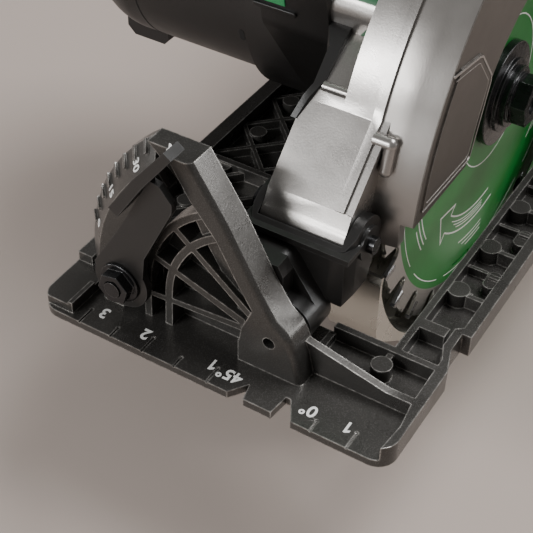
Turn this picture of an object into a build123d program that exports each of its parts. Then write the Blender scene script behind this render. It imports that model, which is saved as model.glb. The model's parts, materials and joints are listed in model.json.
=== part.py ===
"""Cordless circular saw, blade on the left, 184 mm blade, base with a front bevel bracket.

Millimetres. +X is the cutting direction, +Y is the blade side, +Z is up.
The origin lies on the sole, in the blade's plane, under the middle of the bevel bracket.
"""
from math import atan, cos, pi, radians, sin, sqrt, tan
import os

from build123d import *

# ---- driving dimensions -------------------------------------------------------------------
BASE_FRONT, BASE_REAR = 20.0, -280.0      # base edges along X
BASE_LEFT, BASE_RIGHT = -93.0, 39.6       # base edges along Y
FLOOR_T, RIM_Z = 3.0, 8.6                 # base floor thickness and top of its rims
OPEN_X0, OPEN_X1 = -242.0, -21.6          # blade opening in the base
OPEN_Y0, OPEN_Y1 = -42.0, 20.4

BEVEL_Y, BEVEL_Z = -10.9, 16.2            # bevel pivot axis, along X
BRACKET_X0, BRACKET_X1 = -5.2, 6.0        # bevel bracket, back and front planes
BRACKET_R = 74.2                          # outer radius of the bevel bracket's rim
SLOT_R, SLOT_HALF = 53.7, 5.0             # bevel slot, middle radius and half width
BOLT_ANGLE = 4.0                          # clamp bolt above the horizontal, degrees

PIN_X, PIN_Z = -30.0, 38.5                # depth pivot axis, along Y
NOSE_R = 10.0                             # nose radius about the depth pivot

ARBOR_X, ARBOR_Z = -140.0, 32.0           # blade axis, along Y
BLADE_R, BLADE_T, TOOTH_COUNT = 92.0, 1.2, 24
GUARD_R, GUARD_T = 101.0, 2.4             # upper guard, outer radius and wall
CASE_Y0, SEAM_Y0, SEAM_Y1, GUARD_Y1 = -17.3, -6.5, -3.4, 13.5
LOWER_R, LOWER_T = 97.6, 1.4              # lower guard, outer radius and wall
LOWER_Y0, LOWER_Y1 = -11.4, 7.4

GEAR_TEETH, PINION_TEETH, MODULE = 48, 14, 1.0
GEAR_Y0, GEAR_Y1 = -30.5, -23.5           # width of the drive gear
CENTRE_D = MODULE * (GEAR_TEETH + PINION_TEETH) / 2
CENTRE_ANGLE = 95.5                       # direction from blade axis to motor axis, degrees
MOTOR_X = ARBOR_X + CENTRE_D * cos(radians(CENTRE_ANGLE))
MOTOR_Z = ARBOR_Z + CENTRE_D * sin(radians(CENTRE_ANGLE))
MOTOR_R, MOTOR_WALL = 47.5, 2.6
GEARBOX_Y0 = -34.0                        # where the gear housing meets the motor housing

HANDLE_Y, HANDLE_HALF = -50.0, 17.0       # handle's middle plane and half width
LINK_Y0, LINK_Y1 = -21.6, -18.6           # depth link plate
CLAMP_X, CLAMP_Z = -220.0, 60.0           # depth clamp bolt at rest
RUN = 0.05                                # radial clearance of a running fit
GAP = 0.3                                 # clearance between faces of different bodies

os.makedirs("parts", exist_ok=True)


# ---- helpers ------------------------------------------------------------------------------
def box(x0, x1, y0, y1, z0, z1):
    return Pos((x0 + x1) / 2, (y0 + y1) / 2, (z0 + z1) / 2) * Box(x1 - x0, y1 - y0, z1 - z0)


def slab_y(face, y0, y1):
    """Extrude a face drawn in (x, z) between two planes across Y."""
    return Pos(0, y0, 0) * extrude(Plane.XZ * face, amount=y1 - y0, dir=(0, 1, 0))


def slab_x(face, x0, x1):
    """Extrude a face drawn in (y, z) between two planes across X."""
    return Pos(x0, 0, 0) * extrude(Plane.YZ * face, amount=x1 - x0, dir=(1, 0, 0))


def slab_z(face, z0, z1):
    return Pos(0, 0, z0) * extrude(face, amount=z1 - z0, dir=(0, 0, 1))


def disc(u, v, r):
    return Pos(u, v) * Circle(r)


def rod_y(x, z, r, y0, y1):
    return slab_y(disc(x, z, r), y0, y1)


def rod_x(y, z, r, x0, x1):
    return slab_x(disc(y, z, r), x0, x1)


def rod_z(x, y, r, z0, z1):
    return slab_z(disc(x, y, r), z0, z1)


def tube_y(x, z, r_out, r_in, y0, y1):
    return slab_y(disc(x, z, r_out) - disc(x, z, r_in), y0, y1)


def poly(*points):
    return Polygon(*points, align=None)


def hull(*faces):
    edges = ShapeList()
    for face in faces:
        edges += face.edges()
    return make_hull(edges)


def rounded(face, r):
    return fillet(face.vertices(), r)


def hexagon(u, v, across_flats, turn=0.0):
    return Pos(u, v) * Rot(0, 0, turn) * RegularPolygon(across_flats / 2, 6, major_radius=False)


def polar(cx, cz, r, deg):
    return (cx + r * cos(radians(deg)), cz + r * sin(radians(deg)))


def sector(cx, cz, r, deg0, deg1, steps=8):
    """Wedge that covers a circle of radius r between two angles."""
    reach = r / cos(radians((deg1 - deg0) / steps / 2)) * 1.02
    arc = [polar(cx, cz, reach, deg0 + (deg1 - deg0) * i / steps) for i in range(steps + 1)]
    return poly((cx, cz), *arc)


def bevel(r, deg):
    """Point in (y, z) at a radius from the bevel pivot, angle above -Y."""
    return (BEVEL_Y - r * cos(radians(deg)), BEVEL_Z + r * sin(radians(deg)))


def arc_slot(cx, cz, r, half, deg0, deg1):
    band = (disc(cx, cz, r + half) - disc(cx, cz, r - half)) & sector(cx, cz, r + half, deg0, deg1)
    return band + disc(*polar(cx, cz, r, deg0), half) + disc(*polar(cx, cz, r, deg1), half)


def save(name, shape):
    export_step(shape, f"parts/{name}.step")


def save_group(name, solids):
    export_step(Compound(children=list(solids)), f"parts/{name}.step")


# ---- base ---------------------------------------------------------------------------------
RAIL_PITCH, RAIL_RIB_X, RAIL_RIB_COUNT = 13.2, -56.3, 14
RAIL_BOSS_PITCH, RAIL_BOSS_X = 26.0, -57.3
REAR_POST_X0, REAR_POST_X1 = -262.0, -252.0
FENCE_X = -271.0


def base_outline():
    outline = poly((BASE_FRONT, BASE_LEFT), (BASE_FRONT, BASE_RIGHT), (-20, BASE_RIGHT), (-29.5, 36.4),
                   (-38, 36.4), (-38, BASE_RIGHT), (BASE_REAR, BASE_RIGHT), (BASE_REAR, BASE_LEFT))
    corners = [v for v in outline.vertices() if abs(v.X - BASE_FRONT) < 0.1 or abs(v.X - BASE_REAR) < 0.1]
    outline = fillet(corners, 7)
    notch_45 = poly((21, -17.7), (BASE_FRONT, -17.5), (13.6, -13.1), (BASE_FRONT, -11.6), (21, -11.5))
    notch_0 = poly((21, -1.5), (BASE_FRONT, -1.3), (12, -0.4), (12, 1.2), (19.5, 5.6), (21, 6))
    return outline - notch_45 - notch_0


def base_bracket():
    """Bevel bracket, cast in one with the base: rim, slot, arc ribs, spokes and slanting beam."""
    rim_profile = poly((BRACKET_X0, 58.7), (BRACKET_X1, 58.7), (BRACKET_X1, 66.2), (-1.8, 74.0),
                       (BRACKET_X0, BRACKET_R))
    rim = revolve(Plane((0, BEVEL_Y, BEVEL_Z), x_dir=(1, 0, 0), z_dir=(0, -1, 0)) * rim_profile,
                  Axis((0, BEVEL_Y, BEVEL_Z), (1, 0, 0)), 68)
    rim = Pos(0, BEVEL_Y, BEVEL_Z) * Rot(38, 0, 0) * Pos(0, -BEVEL_Y, -BEVEL_Z) * rim
    beam = poly((-38.9, 74.7), (-26.6, 55.6), (-15.1, 34.2), (-9.2, 24.9), (-5.0, 21.6), (-3.4, 19.0),
                (-0.6, 12.1), (1.4, 3), (1.4, 0), (-22.4, 0), (-22.4, 13.2), (-25.5, 26.5), (-37.5, 46.5),
                (-45.5, 64), (-56.6, 74.7))
    beam = slab_x(beam, BRACKET_X0, BRACKET_X1)
    front = beam.faces().sort_by(Axis.X)[-1]
    crest = [e for e in front.edges() if e.center().Y + 9 + 0.638 * (e.center().Z - 21.6) > 0]
    beam = fillet([e for e in crest if e.center().Z > 3], 2.4)
    recess = poly((-22.0, 12.0), (-21.2, 17.5), (-17.2, 27.0), (-23.7, 37.8), (-30.1, 49.6), (-39.6, 61.6),
                  (-46.6, 73.4), (-49.0, 80), (-80, 80), (-80, 12.0))
    web_area = disc(BEVEL_Y, BEVEL_Z, 47.6) & poly((-70, 3), (-15, 3), (-15, 34), (-40, 66), (-70, 66))
    arc_ribs = (poly((-60.0, 0.5), *[bevel(48.7, 2 + 4 * i) for i in range(16)],
                     *[bevel(46.0, 62 - 4 * i) for i in range(16)], (-57.3, 0.5)),
                poly((-51.8, 0.5), *[bevel(40.2, 3 + 4 * i) for i in range(15)],
                     *[bevel(37.4, 59 - 4 * i) for i in range(15)], (-49.0, 0.5)))
    spokes = (poly((-21.7, 15.2), (-58.5, 12.8), (-58.5, 14.8), (-21.7, 17.9)),
              poly((-20.5, 17.2), (-57.0, 30.6), (-56.2, 32.6), (-20.5, 20.6)),
              poly((-14.6, 18.2), (-47.0, 45.6), (-45.6, 47.4), (-14.6, 21.8)))
    body = beam - slab_x(recess, 2.6, BRACKET_X1 + 1) + rim
    body += slab_x(web_area, BRACKET_X0, -2.2)
    for rib in arc_ribs + spokes:
        body += slab_x(rib, -3.4, BRACKET_X1 - 1.2)
    slot = arc_slot(0, 0, SLOT_R, SLOT_HALF, 180 - 52, 180 - 3)
    body -= slab_x(Pos(BEVEL_Y, BEVEL_Z) * slot, -10, 10)
    body -= box(-10, 10, -100, 10, -40, 0.0)
    for index in range(8):
        ridge = Pos(0.3, -72.2, 0) * Rot(0, 0, 45) * Box(5.0, 1.3, 1.1)
        body += Pos(0, BEVEL_Y, BEVEL_Z) * Rot(-(13.5 + 5 * index), 0, 0) * ridge
    return body


def base_plate():
    outline = base_outline()
    body = slab_z(outline, 0, FLOOR_T)
    rim = outline - poly((30, BASE_LEFT + 6), (30, 36.2), (18.6, 36.2), (8, 37.2), (-2, 35.9), (-24, 35.6),
                         (-30, 33.2), (-39, 33.2), (-41, 35.6), (BASE_REAR + 4, 35.6),
                         (BASE_REAR + 4, BASE_LEFT + 6))
    rim_right = slab_z(rim & Pos(-130, 70) * Rectangle(300, 140), 0, RIM_Z)
    rim_left = slab_z(rim & Pos(-145, -70) * Rectangle(286, 140), 0, 10)
    body += rim_right + rim_left
    body += slab_z(outline & Pos(7.0, -87.0) * Rectangle(22, 13.2), 0, 6.3)
    body += box(5.5, 18.0, -82.2, -80.4, 0, 7.4)
    body += box(-22, -2, -79, -76, 0, 9.2)
    # front cross rib with its sloping shoulder, cross wall, screw boss and slab
    shoulder = poly((-2, 0), (-2, 15.5), (27, 8.6), (36, 8.6), (36, 0))
    body += slab_x(shoulder, -4.6, -1.8)
    body += box(-21.1, -18.6, -0.7, 36, 0, RIM_Z)
    body += box(-18.6, -4.6, -2.2, 0.2, 0, 6.0)
    body += rod_z(-12.4, 20.2, 3.6, 0, RIM_Z - 0.4) + box(-18.8, -12.4, 19.2, 21.4, 0, RIM_Z - 1.4)
    body += box(-38, -33.5, OPEN_Y1 - 1, 32, 0, RIM_Z)
    # right rail: inner wall, cross ribs and screw bosses
    body += box(OPEN_X0, -21.1, OPEN_Y1, OPEN_Y1 + 2.6, 0, RIM_Z)
    for index in range(RAIL_RIB_COUNT):
        x = RAIL_RIB_X - RAIL_PITCH * index
        y0 = 28.6 if index % 2 == 0 else 31.6
        body += box(x - 0.9, x + 0.9, y0, 36.4, 0, RIM_Z - 0.5)
        body += box(x - 3.6, x - 2.2, OPEN_Y1 + 1, 30.4, 0, RIM_Z - 2.4)
    for index in range(8):
        x = RAIL_BOSS_X - RAIL_BOSS_PITCH * index
        body += rod_z(x, 26.0, 3.9, 0, RIM_Z - 0.2)
        body += slab_z(hull(disc(x - 9.5, 33.4, 2.6), disc(x - 13.5, 33.4, 2.6)), 0, RIM_Z - 1.6)
    # left tray: edge of the opening and a lattice of diagonal ribs with bosses
    body += box(OPEN_X0, -21.1, OPEN_Y0 - 3, OPEN_Y0, 0, RIM_Z)
    tray = Pos(-133, (BASE_LEFT + 6 + OPEN_Y0 - 3) / 2) * Rectangle(218, 43)
    lattice = Sketch()
    for index in range(11):
        x = -36 - 21.5 * index
        lattice += Pos(x, -66) * Rot(0, 0, 45) * Rectangle(62, 1.7)
        lattice += Pos(x, -66) * Rot(0, 0, -45) * Rectangle(62, 1.7)
    body += slab_z(lattice & tray, 0, 6.6)
    for index in range(8):
        body += rod_z(-48 - 25 * index, -79.5, 3.4, 0, 7.6)
    body += box(-76, -73.4, BASE_LEFT + 4, OPEN_Y0 - 1, 0, RIM_Z)
    # rear: cross wall, fence slot bridges and bearing pad of the rear post
    body += box(OPEN_X0 - 3, OPEN_X0, OPEN_Y0 - 3, 36, 0, RIM_Z)
    body += box(-276, -246, -86, -66, 0, 10.4) + box(-276, -246, 24, 36, 0, 10.4)
    body += box(REAR_POST_X0 - 6, REAR_POST_X1 + 2, -30, 10, 0, 4.2)
    body -= box(OPEN_X0, OPEN_X1, OPEN_Y0, OPEN_Y1, -1, 20)
    body -= box(FENCE_X, FENCE_X + 20, -100, -40, 3.4, 8.2) + box(FENCE_X, FENCE_X + 20, 12, 45, 3.4, 8.2)
    body += base_bracket()
    body -= rod_x(BEVEL_Y, BEVEL_Z, 2.1, -3, 10)
    body -= rod_x(BEVEL_Y, BEVEL_Z, 5.0 + RUN, -10, 0.5)
    # half-inch scale cut in the front lip
    for index in range(-6, 3):
        y = 12.7 * index
        length = 7.0 if index % 2 == 0 else 4.6
        if index != 0 and index != -1:
            body -= box(BASE_FRONT - length, BASE_FRONT + 1, y - 0.3, y + 0.3, FLOOR_T - 0.5, 5)
            body -= rod_z(BASE_FRONT - length, y, 0.6, FLOOR_T - 0.5, 5)
    # thumbscrew hole over the left fence slot
    body -= rod_z(FENCE_X + 10, -74, 2.5 + RUN, 7.0, 20)
    return body


def rear_post():
    """Steel angle riveted to the base; it holds the rear bevel pin."""
    upright = hull(disc(BEVEL_Y, BEVEL_Z, 9), Pos(BEVEL_Y, 5.7) * Rectangle(30, 3))
    post = slab_x(upright, REAR_POST_X1 - 3, REAR_POST_X1)
    post += box(REAR_POST_X0 - 2, REAR_POST_X1, BEVEL_Y - 15, BEVEL_Y + 15, 4.2, 7.2)
    post -= rod_x(BEVEL_Y, BEVEL_Z, 4.0, -300, -240)
    for side in (-10, 10):
        post -= rod_z(-259, BEVEL_Y + side, 2.0, 0, 9)
    return post


def make_base():
    save("base_plate", base_plate())
    save("rear_pivot_post", rear_post())
    rivets = []
    for side in (-10, 10):
        rivets.append(rod_z(-259, BEVEL_Y + side, 2.0, 4.2, 7.2) + rod_z(-259, BEVEL_Y + side, 3.6, 7.2, 8.8))
    save_group("post_rivets", rivets)
    x, y = FENCE_X + 10, -74
    wing = rod_z(x, y, 2.5, 8.3, 13.5) + rod_z(x, y, 5.0, 13.5, 18.0)
    wing += slab_y(rounded(Pos(x, 20) * Rectangle(26, 12), 4), y - 1.6, y + 1.6)
    save("fence_screw", wing)


# ---- tilting frame ------------------------------------------------------------------------
HINGE_X0, HINGE_X1 = -17.0, -19.6         # front wall of the hinge channel
CHEEK_L, CHEEK_R = -34.2, 3.0             # outer faces of the hinge's cheeks


def hinge_bracket():
    bolt = bevel(SLOT_R, BOLT_ANGLE)
    arm = hull(disc(BEVEL_Y, BEVEL_Z, 8.6), disc(*bolt, 9.0))
    arm += poly((-58, 22), (-60, 27), (-38, 38), (-15, 38), (-13, 34), (-13, 22))
    body = slab_x(arm, -11.6, BRACKET_X0 - GAP)
    core = hull(disc(BEVEL_Y, BEVEL_Z, 8.6), disc(-18, 24, 5), disc(-29, 22, 5), disc(-29, 33, 5),
                disc(-18, 33, 5))
    body += slab_x(core, HINGE_X0 - 1.5, -11.5)
    channel = poly((-40, CHEEK_L), (-40, CHEEK_R), (HINGE_X0 - 6, CHEEK_R), (HINGE_X0 - 1.8, CHEEK_R - 1.8),
                   (HINGE_X0, CHEEK_R - 6), (HINGE_X0, CHEEK_L + 5), (HINGE_X0 - 1.5, CHEEK_L + 1.5),
                   (HINGE_X0 - 5, CHEEK_L))
    side = hull(disc(PIN_X, PIN_Z, 9.2), disc(-22, 22, 5), disc(-18.5, 40, 1.5), disc(-28, 20, 3))
    body += slab_z(channel, 15, 50) & slab_y(side, CHEEK_L, CHEEK_R)
    body -= rod_y(PIN_X, PIN_Z, NOSE_R + 0.4, CHEEK_L + 2.9, CHEEK_R - 3.5)
    body -= box(-60, HINGE_X1, CHEEK_L + 2.9, CHEEK_R - 3.5, PIN_Z, 60)
    body -= box(-60, PIN_X, CHEEK_L + 2.9, CHEEK_R - 3.5, 22, 60)
    lip = box(-24.5, HINGE_X0 + 1.5, CHEEK_L - 1.2, CHEEK_R + 1.2, 39.4, 41.4)
    body += lip - box(-60, HINGE_X1, CHEEK_L + 2.9, CHEEK_R - 3.5, 30, 60)
    body += rod_y(PIN_X, PIN_Z, 6.0, CHEEK_R - 0.5, CHEEK_R + 1.2)
    body -= rod_y(PIN_X, PIN_Z, NOSE_R + 0.4, CHEEK_L + 2.9, CHEEK_R - 3.5)
    body -= rod_y(PIN_X, PIN_Z, 3.0, -60, 20)
    body -= rod_x(BEVEL_Y, BEVEL_Z, 5.0, -18, 0)
    body -= rod_x(*bolt, 3.0, -20, 0)
    body -= slab_x(poly((CHEEK_R - 5, 14), (CHEEK_R + 1, 14), (CHEEK_R + 1, 22.5)), -40, HINGE_X0 + 0.5)
    return body


def depth_link():
    """Curved steel bar with the depth slot, centred on the depth pivot, and its bent foot."""
    r = sqrt((CLAMP_X - PIN_X) ** 2 + (CLAMP_Z - PIN_Z) ** 2)
    start = 180 - 6.5
    band = arc_slot(PIN_X, PIN_Z, r, 9.0, start - 36, start + 7)
    slot = arc_slot(PIN_X, PIN_Z, r, 3.3, start - 35.5, start + 2.0)
    foot = poly((-246, 9.2), (-222, 9.2), (-214, 40), (-230, 50), (-246, 27))
    plate = slab_y(band + foot - slot, LINK_Y0, LINK_Y1)
    flange = hull(disc(BEVEL_Y, BEVEL_Z, 8.7), Pos(LINK_Y1 - 1.5, BEVEL_Z) * Rectangle(3, 17.4))
    flange = slab_x(flange, -248.7, -245.7)
    return plate + flange - rod_x(BEVEL_Y, BEVEL_Z, 4.0, -260, -240)


def make_frame():
    bolt = bevel(SLOT_R, BOLT_ANGLE)
    save("hinge_bracket", hinge_bracket())
    save("bevel_pivot_pin", rod_x(BEVEL_Y, BEVEL_Z, 5.0, -16.9, 0.2))
    pin = rod_y(PIN_X, PIN_Z, 3.0, CHEEK_L - 1.5, 6.6) + rod_y(PIN_X, PIN_Z, 5.0, CHEEK_L - 3.0, CHEEK_L)
    save("depth_pivot_pin", pin)
    save("depth_link", depth_link())
    rear = rod_x(BEVEL_Y, BEVEL_Z, 4.0 - RUN, -256.5, -245.7) + rod_x(BEVEL_Y, BEVEL_Z, 6.5, -245.7, -243.2)
    save("rear_pivot_pin", rear)
    square = slab_x(Pos(*bolt) * Rectangle(9.2, 9.2), -15.4, -11.6)
    save("clamp_bolt", rod_x(*bolt, 3.0, -11.7, 16.0) + square)
    cup = slab_x(disc(*bolt, 8.2) - disc(*bolt, 3.0 + RUN), BRACKET_X1 + GAP, 8.2)
    save("clamp_washer", cup)
    blade = poly((-70.2, 14.5), (-74.8, 24.2), (-65.0, 40.4), (-62.1, 45.7), (-56.6, 56.0), (-50.6, 67.4),
                 (-47.0, 66.6), (-42.6, 61.2), (-42.8, 58.0), (-54.4, 34.1), (-56.0, 21.0))
    lever = fillet(blade.vertices().sort_by(Axis.X)[-2:], 1.5) + disc(*bolt, 10.4)
    cross = poly((-63.2, 54.8), (-53.6, 69.0), (-41.3, 84.2), (-38.7, 82.3), (-50.2, 67.2), (-60.0, 52.4))
    plate = slab_x(lever + cross - disc(*bolt, 3.0 + RUN), 8.3, 10.8) + slab_x(cross, 8.3, 15.4)
    save("bevel_lever", plate)
    nut = slab_x(hexagon(*bolt, 10.5, 12) - disc(*bolt, 3.0 + RUN), 10.9, 15.6)
    nut += slab_x(disc(*bolt, 7.4) - disc(*bolt, 3.0 + RUN), 10.8, 12.0)
    save("clamp_nut", nut)


# ---- gear case and guards -----------------------------------------------------------------
OUTER_BEARING = (17.5, 7.5, -22.8, -13.4)  # outer radius, bore radius, y range
INNER_BEARING = (11.0, 5.0, -44.0, -37.0)
MOTOR_FRONT_BEARING = (13.0, 5.0, -43.0, -35.5)
MOTOR_REAR_BEARING = (11.0, 4.0, -150.0, -143.0)
DUST_Y, DUST_Z, DUST_R, DUST_WALL = -1.0, 92.0, 15.5, 2.0
DUST_END = -222.0                         # inner end of the hose socket


def dust_bore():
    """Hose socket at the rear of the upper guard, and the slightly wider passage that feeds it."""
    socket = rod_x(DUST_Y, DUST_Z, DUST_R - DUST_WALL, -252, DUST_END)
    return socket + rod_x(DUST_Y, DUST_Z, DUST_R - DUST_WALL + 0.8, DUST_END, -205)


def guard_lower_cut():
    """Everything under the upper guard's lower edge, seen along Y."""
    return poly((-20, -90), (-20, 31), (-120, 31), (-150, 24), (-260, 30), (-260, -90))


def nose_profile():
    return (poly((-80, 90), (-66, 84), (-58, 79), (-49.5, 74.2), (-46.8, 71.3), (-25.6, 50.1),
                 polar(PIN_X, PIN_Z, NOSE_R, 48), (PIN_X, PIN_Z), (PIN_X, PIN_Z - NOSE_R), (-40, 28.5),
                 (-60, 40), (-70, 60))
            + disc(PIN_X, PIN_Z, NOSE_R))


def nose_corner():
    """Slanting corner beside the nose, left free by the castings."""
    side = poly((-41.3, 66.6), (-46.0, 72.8), (-58, 81.2), (-66, 86.5), (-76, 91), (-76, 80), (-60, 68),
                (-46, 62))
    plan = poly((-40, -36), (-40.4, -31.2), (-51.2, -26.5), (-80, -26.5), (-80, -36))
    return slab_y(side, -35.5, -26.5) & slab_z(plan, 50, 100)


def nose_lip():
    """Narrow lip of the motor housing that runs down along the nose."""
    plan = poly((-39, -33.6), (-39, -28), (-48, -25), (-81, -25), (-81, -37), (-71, -37), (-61, -30.6),
                (-50, -29.6))
    return nose_corner() & slab_z(plan, 49, 101)


def blade_case():
    """Inner half of the upper guard, cast in one with the nose that carries the depth pivot."""
    ring = disc(ARBOR_X, ARBOR_Z, GUARD_R) - disc(ARBOR_X, ARBOR_Z, GUARD_R - GUARD_T)
    ring -= guard_lower_cut()
    rim = slab_y(ring, CASE_Y0, SEAM_Y0)
    bead = disc(ARBOR_X, ARBOR_Z, GUARD_R + 1.0) - disc(ARBOR_X, ARBOR_Z, GUARD_R - GUARD_T)
    rim += slab_y(bead - guard_lower_cut(), SEAM_Y0, SEAM_Y1)
    wall = disc(ARBOR_X, ARBOR_Z, GUARD_R - 0.5) - guard_lower_cut()
    wall += disc(ARBOR_X, ARBOR_Z, 30)
    wall_solid = slab_y(wall, CASE_Y0, CASE_Y0 + 2.3)
    hub = rod_y(ARBOR_X, ARBOR_Z, 22.0, -22.8, -9.6)
    nose = slab_y(nose_profile() - disc(ARBOR_X, ARBOR_Z, GUARD_R - GUARD_T + 0.01), CASE_Y0, -0.8)
    nose += slab_y(nose_profile(), -31.0, CASE_Y0 + 0.5) - nose_corner()
    nose += rod_y(-50.8, 75.0, 1.7, -26.3, CASE_Y0 + 0.5)
    bead_nose = poly((-53, 79), (-24.9, 51.0), (-26.0, 49.5), (-54, 77))
    nose += slab_y(bead_nose - disc(ARBOR_X, ARBOR_Z, GUARD_R), SEAM_Y0, SEAM_Y1)
    edge_rib = poly((-44.5, 70.4), (-24.9, 51.0), (-26.0, 49.5), (-46, 68.6))
    nose += slab_y(edge_rib, -2.4, -0.2)
    nose += rod_y(-43.9, 67.5, 2.4, SEAM_Y1 - 0.5, 1.8) + Pos(-43.9, 1.8, 67.5) * Sphere(2.45)
    nose += Pos(-42.7, 1.8, 63.2) * Rot(0, -15.8, 0) * Cylinder(2.2, 8.8) + Pos(-41.5, 1.8, 59.0) * Sphere(2.25)
    nose -= rod_y(ARBOR_X, ARBOR_Z, GUARD_R - 0.35, SEAM_Y1, 5)
    body = rim + wall_solid + hub + nose
    body -= slab_y(disc(PIN_X, PIN_Z, 3.0 + RUN), -60, 20)
    body -= rod_y(ARBOR_X, ARBOR_Z, OUTER_BEARING[0], OUTER_BEARING[2] - 1, OUTER_BEARING[3])
    body -= rod_y(ARBOR_X, ARBOR_Z, 14.5, -30, 0)
    body -= rod_y(CLAMP_X, CLAMP_Z, 3.0, -30, 0)
    body -= dust_bore()
    return body


def guard_cover():
    """Blade side of the upper guard: rim, chamfered edge and the ring-shaped side wall."""
    outer = disc(ARBOR_X, ARBOR_Z, GUARD_R - 0.4)
    full = slab_y(outer, SEAM_Y1, 1.5)
    edge = Pos(0, 1.5, 0) * extrude(Plane.XZ * outer, amount=-12.0, taper=9)
    hollow = rod_y(ARBOR_X, ARBOR_Z, LOWER_R + 0.4, -20, 7.8) + rod_y(ARBOR_X, ARBOR_Z, GUARD_R - 6, 7, 11.4)
    window = rod_y(ARBOR_X, ARBOR_Z, 60, 0, 20)
    body = full + edge - hollow - window
    body -= slab_y(guard_lower_cut(), -30, 30)
    body -= slab_y(poly((-20, 20), (-20, 40.5), (-110, 40.5), (-140, 25), (-260, 34), (-260, 20)), 9.0, 30)
    panel = disc(ARBOR_X, ARBOR_Z, 95) - disc(ARBOR_X, ARBOR_Z, 61.5)
    panel = panel & poly((-40, 44.8), (-79.8, 43.2), (-90.9, 71), (-78.4, 86.1), (-56.4, 89.7), (-40, 80))
    body += slab_y(panel, 13.0, 14.1)
    body -= dust_bore()
    return body


def lower_guard():
    """Swinging guard: flared front, rim, full inner wall and a crescent-shaped outer wall."""
    outer = hull(disc(ARBOR_X, ARBOR_Z, LOWER_R), disc(-46.2, -2.0, 12.0), disc(-37.2, 17.9, 3.0))
    inner = hull(disc(ARBOR_X, ARBOR_Z, LOWER_R - LOWER_T), disc(-46.2, -2.0, 12.0 - LOWER_T),
                 disc(-37.2, 17.9, 3.0 - LOWER_T))
    above = poly((-20, 20.9), (-100, 20.9), (ARBOR_X, ARBOR_Z + 8), (-260, ARBOR_Z + 26), (-260, 150),
                 (-20, 150))
    rim = slab_y(outer - inner - above, LOWER_Y0, LOWER_Y1)
    wall = slab_y(outer - above + disc(ARBOR_X, ARBOR_Z, 27), LOWER_Y0, LOWER_Y0 + 1.4)
    crescent = (outer - above - disc(-120, 40, 88.5)) & poly((-20, 20), (-260, 24), (-260, -90), (-20, -90))
    crescent -= disc(ARBOR_X, ARBOR_Z, 62)
    body = rim + wall + slab_y(crescent, LOWER_Y1 - 1.3, LOWER_Y1)
    body -= rod_y(ARBOR_X, ARBOR_Z, 22.0 + RUN, -30, 0)
    return body


def gear_housing():
    """Closed gear housing between the blade case and the motor, with both rear bearing bosses."""
    shape = hull(disc(ARBOR_X, ARBOR_Z, 28.6), disc(MOTOR_X, MOTOR_Z, 46))
    shape += hull(disc(MOTOR_X, MOTOR_Z, 46), disc(-76, 92, 9), disc(-78, 82, 8))
    shape += hull(disc(ARBOR_X, ARBOR_Z, 28.6), disc(-80, 70, 5), disc(-54, 62, 3), disc(-60, 52, 5))
    body = slab_y(shape, GEARBOX_Y0, CASE_Y0)
    body += rod_y(MOTOR_X, MOTOR_Z, 16, -43, GEARBOX_Y0) + rod_y(ARBOR_X, ARBOR_Z, 14, -44, GEARBOX_Y0)
    body -= slab_y(hull(disc(ARBOR_X, ARBOR_Z, 26.2), disc(MOTOR_X, MOTOR_Z, 12)), -31.6, -23.0)
    body -= rod_y(ARBOR_X, ARBOR_Z, 22.0, -23.1, -17)
    body -= rod_y(MOTOR_X, MOTOR_Z, MOTOR_FRONT_BEARING[0], MOTOR_FRONT_BEARING[2], MOTOR_FRONT_BEARING[3])
    body -= rod_y(ARBOR_X, ARBOR_Z, INNER_BEARING[0], INNER_BEARING[2], INNER_BEARING[3])
    body -= rod_y(MOTOR_X, MOTOR_Z, 8.6, -36, -22.9) + rod_y(ARBOR_X, ARBOR_Z, 7.0, -38, -31)
    body -= box(-134, -100, -37.0, GEARBOX_Y0, 28.2, 35.8)
    body -= slab_y(nose_profile(), -31.0, -16) + nose_corner()
    return body


def make_case():
    save("blade_case", blade_case())
    save("guard_cover", guard_cover())
    save("gear_housing", gear_housing())
    save("lower_guard", lower_guard())


# ---- blade and gears ----------------------------------------------------------------------
def gear_face(teeth, bore, first_tooth):
    """Involute gear outline with backlash; first_tooth is the direction of one tooth, degrees."""
    pitch_r = MODULE * teeth / 2
    base_r = pitch_r * cos(radians(20))
    tip_r, root_r = pitch_r + 0.85 * MODULE, pitch_r - 1.15 * MODULE
    involute_20 = tan(radians(20)) - radians(20)
    half_at_pitch = 0.84 * pi / (2 * teeth)
    flank = []
    for r in (max(root_r, base_r), (pitch_r + max(root_r, base_r)) / 2, pitch_r, tip_r):
        roll = sqrt(max((r / base_r) ** 2 - 1, 0))
        half = half_at_pitch + involute_20 - (roll - atan(roll))
        flank.append((r, half))
    points = []
    for index in range(teeth):
        middle = radians(first_tooth) + 2 * pi * index / teeth
        points.append((root_r * cos(middle - flank[0][1]), root_r * sin(middle - flank[0][1])))
        points += [(r * cos(middle - half), r * sin(middle - half)) for r, half in flank]
        points += [(r * cos(middle + half), r * sin(middle + half)) for r, half in reversed(flank)]
        points.append((root_r * cos(middle + flank[0][1]), root_r * sin(middle + flank[0][1])))
    if root_r >= base_r:
        points = [p for i, p in enumerate(points) if i % 10 not in (0, 9)]
    return poly(*points) - Circle(bore)


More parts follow.
